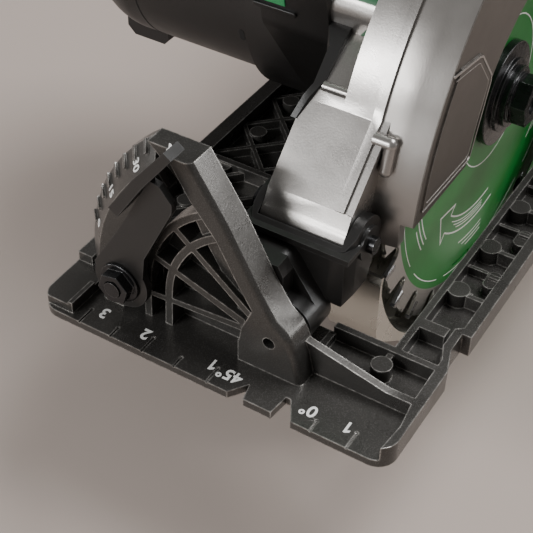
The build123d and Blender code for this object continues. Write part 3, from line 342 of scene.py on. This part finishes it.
PAINT = {
    "base_alloy": base_paint(),
    "black_steel": satin_black(),
    "zinc_steel": zinc(),
    "guard_alloy": guard_silver(),
    "guard_dark": guard_cover_paint(),
    "guard_sheet": guard_sheet(),
    "blade_steel": blade_finish(),
    "green_plastic": moulded("green_plastic", (0.03, 0.25, 0.09)),
    "black_plastic": moulded("black_plastic", (0.0085, 0.008, 0.0078), 0.36),
    "rubber": soft_rubber(),
    "core_steel": core_steel(),
    "copper": copper(),
    "cell": cell_wrap(),
}
BLACKENED = ("arbor_bolt", "inner_flange", "outer_flange", "clamp_nut", "clamp_bolt", "clamp_washer",
             "depth_pivot_pin")
SPECIAL = {name: black_oxide() for name in BLACKENED}
SPECIAL["gear_housing"] = guard_silver("gear_housing_paint", True)
SPECIAL["carbide_tips"] = carbide()
WHITE_INK = white_print()


# ---- CAD nodes: materials and softened edges -----------------------------------------------
EDGE = {"base_plate": 0.8, "blade_case": 0.8, "guard_cover": 0.6, "hinge_bracket": 0.6, "motor_housing": 0.8,
        "handle_left": 1.6, "handle_right": 1.6, "battery_case": 0.8, "battery_lid": 0.8, "front_grip": 1.0,
        "saw_blade": 0.1, "carbide_tips": 0.1, "lower_guard": 0.25}


def finish_node(obj, name):
    """Welds the mesh, softens its edges and evens out its normals."""
    weld = obj.modifiers.new("weld", "WELD")
    weld.merge_threshold = 0.002 * MM
    bevel = obj.modifiers.new("soft_edges", "BEVEL")
    bevel.width = EDGE.get(name, 0.35) * MM
    bevel.segments = 2
    bevel.limit_method = "ANGLE"
    bevel.angle_limit = math.radians(26)
    bevel.use_clamp_overlap = True
    normals = obj.modifiers.new("normals", "WEIGHTED_NORMAL")
    normals.keep_sharp = False
    for polygon in obj.data.polygons:
        polygon.use_smooth = True


for entry in frame["record"]["subparts"]:
    node = entry["node"]
    shown = NODES[node]
    shown.data.materials.clear()
    shown.data.materials.append(SPECIAL.get(node, PAINT[entry["material_slot"]]))
    finish_node(shown, node)


# ---- tools for the added pieces -------------------------------------------------------------
def axes(origin, right, up):
    """Frame with X and Y along two directions; Z is their normal. The origin is in millimetres."""
    right, up = Vector(right).normalized(), Vector(up).normalized()
    turn = Matrix((right, up, right.cross(up))).transposed().to_4x4()
    return Matrix.Translation(Vector(origin) * MM) @ turn @ Matrix.Scale(MM, 4)


def prism(bm, outline, place, low, high):
    """Solid with an outline in the XY plane of a frame, between two heights along its Z."""
    rings = [[bm.verts.new(place @ Vector((u, v, h))) for u, v in outline] for h in (low, high)]
    bm.faces.new(list(reversed(rings[0])))
    bm.faces.new(rings[1])
    count = len(outline)
    for i in range(count):
        j = (i + 1) % count
        bm.faces.new((rings[0][i], rings[0][j], rings[1][j], rings[1][i]))


def lathe(bm, rings, place, count=36):
    """Turned solid along Z. Each ring is radius, height and, where it has lobes, their depth."""
    loops = []
    for ring in rings:
        radius, height = ring[:2]
        depth = ring[2] if len(ring) > 2 else 0.0
        loop = []
        for i in range(count):
            angle = 2 * math.pi * i / count
            r = radius * (1 + depth * math.cos(6 * angle))
            loop.append(bm.verts.new(place @ Vector((r * math.cos(angle), r * math.sin(angle), height))))
        loops.append(loop)
    for a, b in zip(loops, loops[1:]):
        for i in range(count):
            j = (i + 1) % count
            bm.faces.new((a[i], a[j], b[j], b[i]))
    bm.faces.new(list(reversed(loops[0])))
    bm.faces.new(loops[-1])


def strip(points, width):
    """Outline of a strip of one width along an open line."""
    left, right = [], []
    count = len(points)
    for i, point in enumerate(points):
        before = Vector(points[i - 1] if i else points[i])
        after = Vector(points[i + 1] if i < count - 1 else points[i])
        here = Vector(point)
        first = (here - before).normalized() if (here - before).length else (after - here).normalized()
        second = (after - here).normalized() if (after - here).length else first
        side = Vector((-(first + second).y, (first + second).x)).normalized()
        reach = width / 2 / max(0.5, side.dot(Vector((-first.y, first.x))))
        left.append(tuple(here + side * reach))
        right.append(tuple(here - side * reach))
    return left + right[::-1]


def arc(radius, start, end, steps=12):
    """Points along an arc about the origin, between two angles in degrees."""
    turn = [math.radians(start + (end - start) * i / steps) for i in range(steps + 1)]
    return [(radius * math.cos(a), radius * math.sin(a)) for a in turn]


def rounded_bar(length, width, radius, steps=4):
    """Outline of a bar with rounded corners, centred on the origin."""
    points = []
    for cx, cy, start in ((1, 1, 0), (-1, 1, 90), (-1, -1, 180), (1, -1, 270)):
        for i in range(steps + 1):
            a = math.radians(start + 90 * i / steps)
            points.append((cx * (length / 2 - radius) + radius * math.cos(a),
                           cy * (width / 2 - radius) + radius * math.sin(a)))
    return points


def lettering(bm, text, size, place, low, high):
    """Raised figures, centred on a frame's origin."""
    if text == "1":
        shape = [(-0.03, -0.36), (0.1, -0.36), (0.1, 0.36), (-0.01, 0.36), (-0.2, 0.24), (-0.2, 0.11),
                 (-0.03, 0.19)]
        prism(bm, [(u * size, v * size) for u, v in shape][::-1], place, low, high)
        return
    data = bpy.data.curves.new("figures", "FONT")
    data.body = text
    data.size = size
    data.align_x, data.align_y = "CENTER", "CENTER"
    data.extrude = (high - low) / 2
    data.offset = size * 0.02
    holder = bpy.data.objects.new("figures", data)
    mesh = bpy.data.meshes.new_from_object(holder)
    mesh.transform(place @ Matrix.Translation((0, 0, (low + high) / 2)))
    bm.from_mesh(mesh)
    bpy.data.meshes.remove(mesh)
    bpy.data.objects.remove(holder)
    bpy.data.curves.remove(data)


def piece(name, bm, body, material, edge=0.0):
    """Makes an added piece that rides on a body; an edge in millimetres softens its corners."""
    bmesh.ops.recalc_face_normals(bm, faces=bm.faces)
    mesh = bpy.data.meshes.new(name)
    bm.to_mesh(mesh)
    bm.free()
    mesh.materials.append(material)
    obj = bpy.data.objects.new(name, mesh)
    bpy.context.scene.collection.objects.link(obj)
    if edge:
        bevel = obj.modifiers.new("soft_edges", "BEVEL")
        bevel.width = edge * MM
        bevel.segments = 2
        bevel.limit_method = "ANGLE"
        bevel.angle_limit = math.radians(30)
        obj.modifiers.new("normals", "WEIGHTED_NORMAL")
        for polygon in mesh.polygons:
            polygon.use_smooth = True
    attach(obj, body)
    return obj


def screw(bm, place, radius, height=1.6, turn=0.0):
    """Domed screw head with a six-lobed socket."""
    socket = radius * 0.5
    place = place @ Matrix.Rotation(math.radians(turn), 4, "Z")
    dome = [(radius, 0), (radius, height * 0.45), (radius * 0.9, height * 0.8), (radius * 0.72, height)]
    recess = [(socket * 1.12, height, 0.12), (socket, height * 0.9, 0.16), (socket * 0.92, height * 0.25, 0.16)]
    lathe(bm, dome + recess, place)


SIDE_LEFT = ((-1, 0, 0), (0, 0, 1))       # looking at the blade side: u runs to -X, v up
SIDE_RIGHT = ((1, 0, 0), (0, 0, 1))       # looking at the motor side: u runs to +X, v up
# Near-black patches laid on surfaces for holes, slots and grooves: painted shade standing for their dark
# insides.
PAINTED_SHADE_BLACK = moulded("painted_recess_shade", (0.004, 0.004, 0.004), 0.7, 0.02 * MM)


# ---- base: figures on the lip; figures and painted ridge highlights on the bevel rim ----------
LIP_TOP_Z = 3.0
LIP_FIGURE_SIZE = 6.4


def lip_figures():
    bm = bmesh.new()
    for text, x, y in (("3", 12.1, -71.4), ("2", 12.8, -54.0), ("1", 12.7, -27.6), ("45\u00b0", 13.4, -20.6),
                       ("0\u00b0", 12.7, 8.3), ("1", 12.6, 22.1)):
        place = axes((x, y, LIP_TOP_Z), (0, -1, 0), (1, 0, 0))
        lettering(bm, text, LIP_FIGURE_SIZE, place, 0.02, 0.16)
    piece("lip_figures", bm, "base", WHITE_INK)


def rim_frame(degrees, x, radius):
    """Frame on the bevel rim's chamfer: X runs from the outer edge inwards, Y around the rim."""
    a = math.radians(degrees)
    outwards = Vector((0, -math.cos(a), math.sin(a)))
    around = Vector((0, math.sin(a), math.cos(a)))
    run = (Vector((1, 0, 0)) - outwards).normalized()
    origin = BEVEL / MM + outwards * radius
    origin.x = x
    return axes(origin, run, around)


def rim_figures_and_ridge_highlights():
    bm = bmesh.new()
    # White strips on the eight ridges of the chamfer: painted highlight on the ridge tops; the figures below
    # are print.
    for index in range(8):
        prism(bm, rounded_bar(4.8, 0.5, 0.24), rim_frame(13.5 + 5 * index, 0.3, 72.2), 0.3, 0.62)
    for degrees, text in ((14.0, "0"), (28.5, "15"), (43.5, "30"), (57.5, "45")):
        place = rim_frame(degrees, 3.0, 69.2)
        lettering(bm, text, 4.6, place, -0.1, 0.14)
    piece("rim_figures_and_ridge_highlights", bm, "base", WHITE_INK)


# ---- guard, blade and gear case ----------------------------------------------------------------
def guard_panel_highlight_lines():
    bm = bmesh.new()
    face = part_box("guard_cover")[1].y / MM
    place = axes((0, face, 0), *SIDE_LEFT)
    outer = [(45.5, 44.9), (79.0, 43.6), (81.0, 44.6), (90.2, 69.5), (90.0, 72.0), (79.6, 84.6), (77.0, 85.6),
             (58.0, 88.6)]
    inner = [(48.0, 47.0), (77.6, 45.8), (79.3, 46.8), (87.8, 69.6), (87.6, 71.4), (78.4, 82.6), (76.2, 83.4),
             (60.0, 86.0)]
    # Silver beads on the dark side face along the bevelled panel border: painted highlight for the light the
    # bevels catch.
    prism(bm, strip(outer, 0.8), place, -0.3, 0.22)
    prism(bm, strip(inner, 0.35), place, -0.3, 0.12)
    piece("guard_panel_highlight_lines", bm, "saw", PAINT["guard_alloy"], 0.1)


def blade_print():
    bm = bmesh.new()
    place = axes((ARBOR.x / MM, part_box("saw_blade")[1].y / MM, ARBOR.z / MM), *SIDE_LEFT)
    low, high = 0.01, 0.05

    def ring(radius, start, end, width):
        prism(bm, [(-u, v) for u, v in strip(arc(radius, start, end, 24), width)], place, low, high)

    for start in (-100, 80):
        ring(57.0, start, start + 50, 0.7)
        ring(50.0, start + 4, start + 50, 0.7)
        tail = start + 50
        head = [(tail, 57.0), (tail, 61.5), (start + 62, 53.5), (tail, 45.5), (tail, 50.0)]
        corners = [(-r * math.cos(math.radians(a)), r * math.sin(math.radians(a))) for a, r in head]
        prism(bm, strip(corners, 0.8), place, low, high)
        for r in (52.2, 53.5, 54.8):
            ring(r, start + 10, start + 46 - (r - 52) * 3, 0.45)
    for index in range(6):
        middle = -92 + 60 * index
        for step, r in enumerate((64.0, 66.2, 68.4)):
            ring(r, middle, middle + 20 - 4 * step, 0.55)
    for index in range(12):
        ring(76.6, 30 * index, 30 * index + 24, 0.4)
    ring(30.0, 0, 180, 0.5)
    ring(30.0, 180, 360, 0.5)
    piece("blade_print", bm, "blade_group", WHITE_INK)


CASE_SCREW_CIRCLE = 88                    # radius about the arbor
CASE_SCREW_Y = -17.3


def case_screws():
    bm = bmesh.new()
    for degrees in (72, 96, 120):
        a = math.radians(degrees)
        x = ARBOR.x / MM + CASE_SCREW_CIRCLE * math.cos(a)
        z = ARBOR.z / MM + CASE_SCREW_CIRCLE * math.sin(a)
        screw(bm, axes((x, CASE_SCREW_Y, z), *SIDE_RIGHT), 3.6, 2.0, degrees)
    piece("case_screws", bm, "saw", PAINT["zinc_steel"])


# ---- motor and handle ---------------------------------------------------------------------------
def around_motor(y, degrees, radius):
    """Frame on the motor's round wall: X along +Y, Z outwards."""
    a = math.radians(degrees)
    out = Vector((math.cos(a), 0, math.sin(a)))
    origin = MOTOR / MM + out * radius
    origin.y = y
    along = Vector((0, 1, 0))
    return axes(origin, along, out.cross(along))


MOTOR_R = 47.5                            # round wall of the motor housing
MOTOR_BOSS_CIRCLE = 47.6
MOTOR_BOSS_DEGREES = (75, 165, 222)


def motor_boss_place(degrees, y):
    """Frame of a screw boss on the motor's wall, with Z towards the motor's outer end."""
    a = math.radians(degrees)
    x = MOTOR.x / MM + MOTOR_BOSS_CIRCLE * math.cos(a)
    z = MOTOR.z / MM + MOTOR_BOSS_CIRCLE * math.sin(a)
    return axes((x, y, z), *SIDE_RIGHT)


def motor_details():
    bm = bmesh.new()
    for index in range(9):
        prism(bm, rounded_bar(40, 2.4, 1.1), around_motor(-111, 100 + 12 * index, MOTOR_R), -0.6, 0.9)
    for degrees in MOTOR_BOSS_DEGREES:
        lathe(bm, [(5.2, -1.0), (5.2, 6.4), (4.6, 7.0)], motor_boss_place(degrees, -82.0))
    piece("motor_ribs", bm, "saw", PAINT["black_plastic"], 0.35)
    bm = bmesh.new()
    for degrees in MOTOR_BOSS_DEGREES:
        screw(bm, motor_boss_place(degrees, -89.0), 3.3, 1.6, degrees)
    piece("motor_screws", bm, "saw", PAINT["zinc_steel"])
    # Dark patches for the slot hole and the ring of vent slots: painted shade of their insides.
    bm = bmesh.new()
    prism(bm, rounded_bar(2.2, 5.4, 1.05), around_motor(-86.8, -17, MOTOR_R), -0.3, 0.06)
    for index in range(72):
        prism(bm, rounded_bar(0.5, 4.3, 0.2, 1), around_motor(-135.9, 5 * index, MOTOR_R + 0.05), -0.3, 0.03)
    piece("motor_hole_shade", bm, "saw", PAINTED_SHADE_BLACK)


def green_insert():
    bm = bmesh.new()
    lean = Vector((-3.0, 0, -14.0)).normalized()
    place = axes((-66.0, -55.0, 88.3), (0, 1, 0), -lean)
    prism(bm, [(-5.2, 0.4), (5.2, 0.4), (5.2, 13), (-5.2, 13)], place, -1.0, 0.7)
    piece("green_insert", bm, "saw", PAINT["green_plastic"], 0.3)
    bm = bmesh.new()
    place = axes((-66.4, -54.0, 86.6), (0, 1, 0), -lean)
    prism(bm, rounded_bar(16.5, 1.9, 0.9), place, -1.0, 1.3)
    piece("insert_sill", bm, "saw", PAINT["black_plastic"], 0.35)


HANDLE_MIDDLE_Y, HANDLE_HALF = -50.0, 17.0
GRIP_RIB_PITCH = 5.2
FRONT_GRIP_X, FRONT_GRIP_Z, FRONT_RIB_PITCH = -80, 122, 7


def handle_details():
    bm = bmesh.new()
    for x, z in ((-84, 150), (-150, 161), (-206, 139), (-226, 114), (-99, 112)):
        screw(bm, axes((x, HANDLE_MIDDLE_Y - HANDLE_HALF, z), *SIDE_RIGHT), 3.6, 1.2, x)
    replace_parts(piece("handle_screw_heads", bm, "saw", PAINT["zinc_steel"]), "handle_screws")
    bm = bmesh.new()
    line = [(-128, 180.2), (-160, 178.7), (-200, 161.9), (-231.6, 133.2)]
    for a, b in zip(line, line[1:]):
        start, end = Vector((a[0], 0, a[1])), Vector((b[0], 0, b[1]))
        run = (end - start).normalized()
        count = int((end - start).length // GRIP_RIB_PITCH)
        for index in range(count):
            centre = start + run * (GRIP_RIB_PITCH * (index + 0.5))
            centre.y = HANDLE_MIDDLE_Y
            place = axes(centre, (0, 1, 0), run)
            out = 1 if place.to_3x3().col[2].z > 0 else -1
            prism(bm, rounded_bar(28, 2.2, 1.0), place, -0.4 * out, 0.4 * out)
    piece("grip_ribs", bm, "saw", PAINT["rubber"], 0.3)
    bm = bmesh.new()
    for index in range(8):
        y = -128 + FRONT_RIB_PITCH * index
        for side in (-1, 1):
            place = axes((FRONT_GRIP_X + side * 14.5, y, FRONT_GRIP_Z), (0, 1, 0), (0, 0, side))
            prism(bm, rounded_bar(3.2, 18, 1.4), place, -0.4, 0.6)
            place = axes((FRONT_GRIP_X, y, FRONT_GRIP_Z + side * 15.5), (0, 1, 0), (-side, 0, 0))
            prism(bm, rounded_bar(3.2, 16, 1.4), place, -0.4, 0.6)
    piece("front_grip_ribs", bm, "saw", PAINT["rubber"], 0.3)


BATTERY_MIDDLE_Y = -71
LATCH_X, LATCH_Z = -273, 85


def battery_details():
    low, high = (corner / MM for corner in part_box("battery_case"))
    bm = bmesh.new()
    for y, facing in ((low.y, SIDE_RIGHT), (high.y, SIDE_LEFT)):
        for index in range(7):
            place = axes((low.x + 16 + 11 * index, y, 55), *facing)
            prism(bm, rounded_bar(3.0, 26, 1.4), place, -0.4, 0.7)
    piece("battery_ribs", bm, "battery", PAINT["black_plastic"], 0.3)
    # Dark patches for the grooves on the battery's end: painted shade of their insides.
    bm = bmesh.new()
    for index in range(5):
        place = axes((low.x, BATTERY_MIDDLE_Y + (index - 2) * 11, 56), (0, -1, 0), (0, 0, 1))
        prism(bm, rounded_bar(3.0, 30, 1.4), place, -0.3, 0.02)
    piece("battery_groove_shade", bm, "battery", PAINTED_SHADE_BLACK)
    bm = bmesh.new()
    for index in range(4):
        place = axes((low.x, -80 + 6 * index, 84.5), (0, -1, 0), (0, 0, 1))
        lathe(bm, [(1.1, -0.3), (1.1, 0.01), (0.8, 0.03)], place, 16)
    piece("charge_lamps", bm, "battery", PAINT["green_plastic"])
    for name, corner, facing in (("latch_right", 0, SIDE_RIGHT), ("latch_left", 1, SIDE_LEFT)):
        bm = bmesh.new()
        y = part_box("battery_" + name)[corner].y / MM
        for index in range(5):
            place = axes((LATCH_X + (index - 2) * 3.8, y, LATCH_Z), *facing)
            prism(bm, rounded_bar(1.5, 5.4, 0.7), place, -0.3, 0.4)
        piece(name + "_ribs", bm, name, PAINT["black_plastic"], 0.15)


LINK_MIDDLE_X, LINK_MIDDLE_Z = -220, 60    # the depth lever's bolt, in the link's slot
LINK_HALF_WIDTH = 8.4


def depth_scale():
    """Ticks along the outer edge of the curved link, centred on the depth pivot."""
    bm = bmesh.new()
    pin = Vector(JOINTS["cut_depth"]["pos_m"]) / MM
    place = axes((pin.x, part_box("depth_link")[0].y / MM, pin.z), *SIDE_RIGHT)
    edge = math.hypot(LINK_MIDDLE_X - pin.x, LINK_MIDDLE_Z - pin.z) + LINK_HALF_WIDTH
    for index in range(17):
        length = 2.6 if index % 4 == 0 else 1.5
        a = math.radians(180 - 4 - 2 * index)
        run = [(r * math.cos(a), r * math.sin(a)) for r in (edge, edge - length)]
        prism(bm, strip(run, 0.4), place, 0.01, 0.08)
    piece("depth_scale", bm, "tilt_frame", WHITE_INK)


lip_figures()
rim_figures_and_ridge_highlights()
guard_panel_highlight_lines()
blade_print()
case_screws()
motor_details()
green_insert()
handle_details()
battery_details()
depth_scale()


# ---- camera, light and floor --------------------------------------------------------------
FLOOR_HALF = 10.0
SENSOR_WIDTH, LENS = 36.0, 85.83           # millimetres on the film side
CAMERA_PLACE = (246.49 * MM, 132.40 * MM, 301.39 * MM)
CAMERA_TURN = (31.01, 42.06, 1.051)        # yaw, pitch and roll in degrees


def stage_floor():
    mesh = bpy.data.meshes.new("floor")
    corners = [(-FLOOR_HALF, -FLOOR_HALF, 0), (FLOOR_HALF, -FLOOR_HALF, 0), (FLOOR_HALF, FLOOR_HALF, 0),
               (-FLOOR_HALF, FLOOR_HALF, 0)]
    mesh.from_pydata(corners, [], [(0, 1, 2, 3)])
    floor = bpy.data.objects.new("floor", mesh)
    floor.location.z = FLOOR_Z - 0.5 * MM
    bpy.context.scene.collection.objects.link(floor)
    paper = Surface("backdrop_paper", (0.40, 0.340, 0.305), 0.85)
    paper.mottle(0.4, 0.15, 0.94).grain(1.5 * MM, 0.02 * MM)
    mesh.materials.append(paper.done())


def softbox(name, place, target, width, height, power):
    """Rectangular lamp at a place, turned towards a target."""
    data = bpy.data.lights.new(name, "AREA")
    data.shape = "RECTANGLE"
    data.size, data.size_y = width, height
    data.energy = power
    lamp = bpy.data.objects.new(name, data)
    lamp.location = place
    lamp.rotation_mode = "QUATERNION"
    lamp.rotation_quaternion = (Vector(target) - Vector(place)).to_track_quat("-Z", "Y")
    bpy.context.scene.collection.objects.link(lamp)


def camera():
    data = bpy.data.cameras.new("camera")
    data.sensor_width = SENSOR_WIDTH
    data.lens = LENS
    data.clip_start, data.clip_end = 0.01, 20.0
    cam = bpy.data.objects.new("camera", data)
    yaw, pitch, roll = (math.radians(a) for a in CAMERA_TURN)
    level = math.cos(pitch)
    ahead = Vector((-math.cos(yaw) * level, -math.sin(yaw) * level, -math.sin(pitch)))
    right = ahead.cross(Vector((0, 0, 1))).normalized()
    up = right.cross(ahead)
    right, up = (math.cos(roll) * right + math.sin(roll) * up, -math.sin(roll) * right + math.cos(roll) * up)
    cam.matrix_world = Matrix((right, up, -ahead)).transposed().to_4x4()
    cam.location = CAMERA_PLACE
    bpy.context.scene.collection.objects.link(cam)
    bpy.context.scene.camera = cam


def world():
    sky = bpy.data.worlds.new("studio")
    sky.use_nodes = True
    sky.node_tree.nodes["Background"].inputs["Color"].default_value = (1.0, 0.97, 0.94, 1)
    sky.node_tree.nodes["Background"].inputs["Strength"].default_value = 0.28
    bpy.context.scene.world = sky


stage_floor()
camera()
world()
softbox("key", (-0.5, 0.35, 1.2), (-0.1, 0, 0.05), 0.7, 0.5, 17)
softbox("front", (1.08, -0.56, 0.74), (-0.04, -0.01, 0.06), 0.6, 0.3, 13)
softbox("low_front", (1.25, -0.35, 0.22), (-0.04, -0.01, 0.04), 0.6, 0.12, 3)
softbox("rear", (-0.95, 1.0, 0.32), (-0.05, 0, 0.05), 0.7, 0.3, 5)
softbox("side", (0.15, -1.25, 0.35), (0, -0.03, 0.05), 0.8, 0.3, 4)
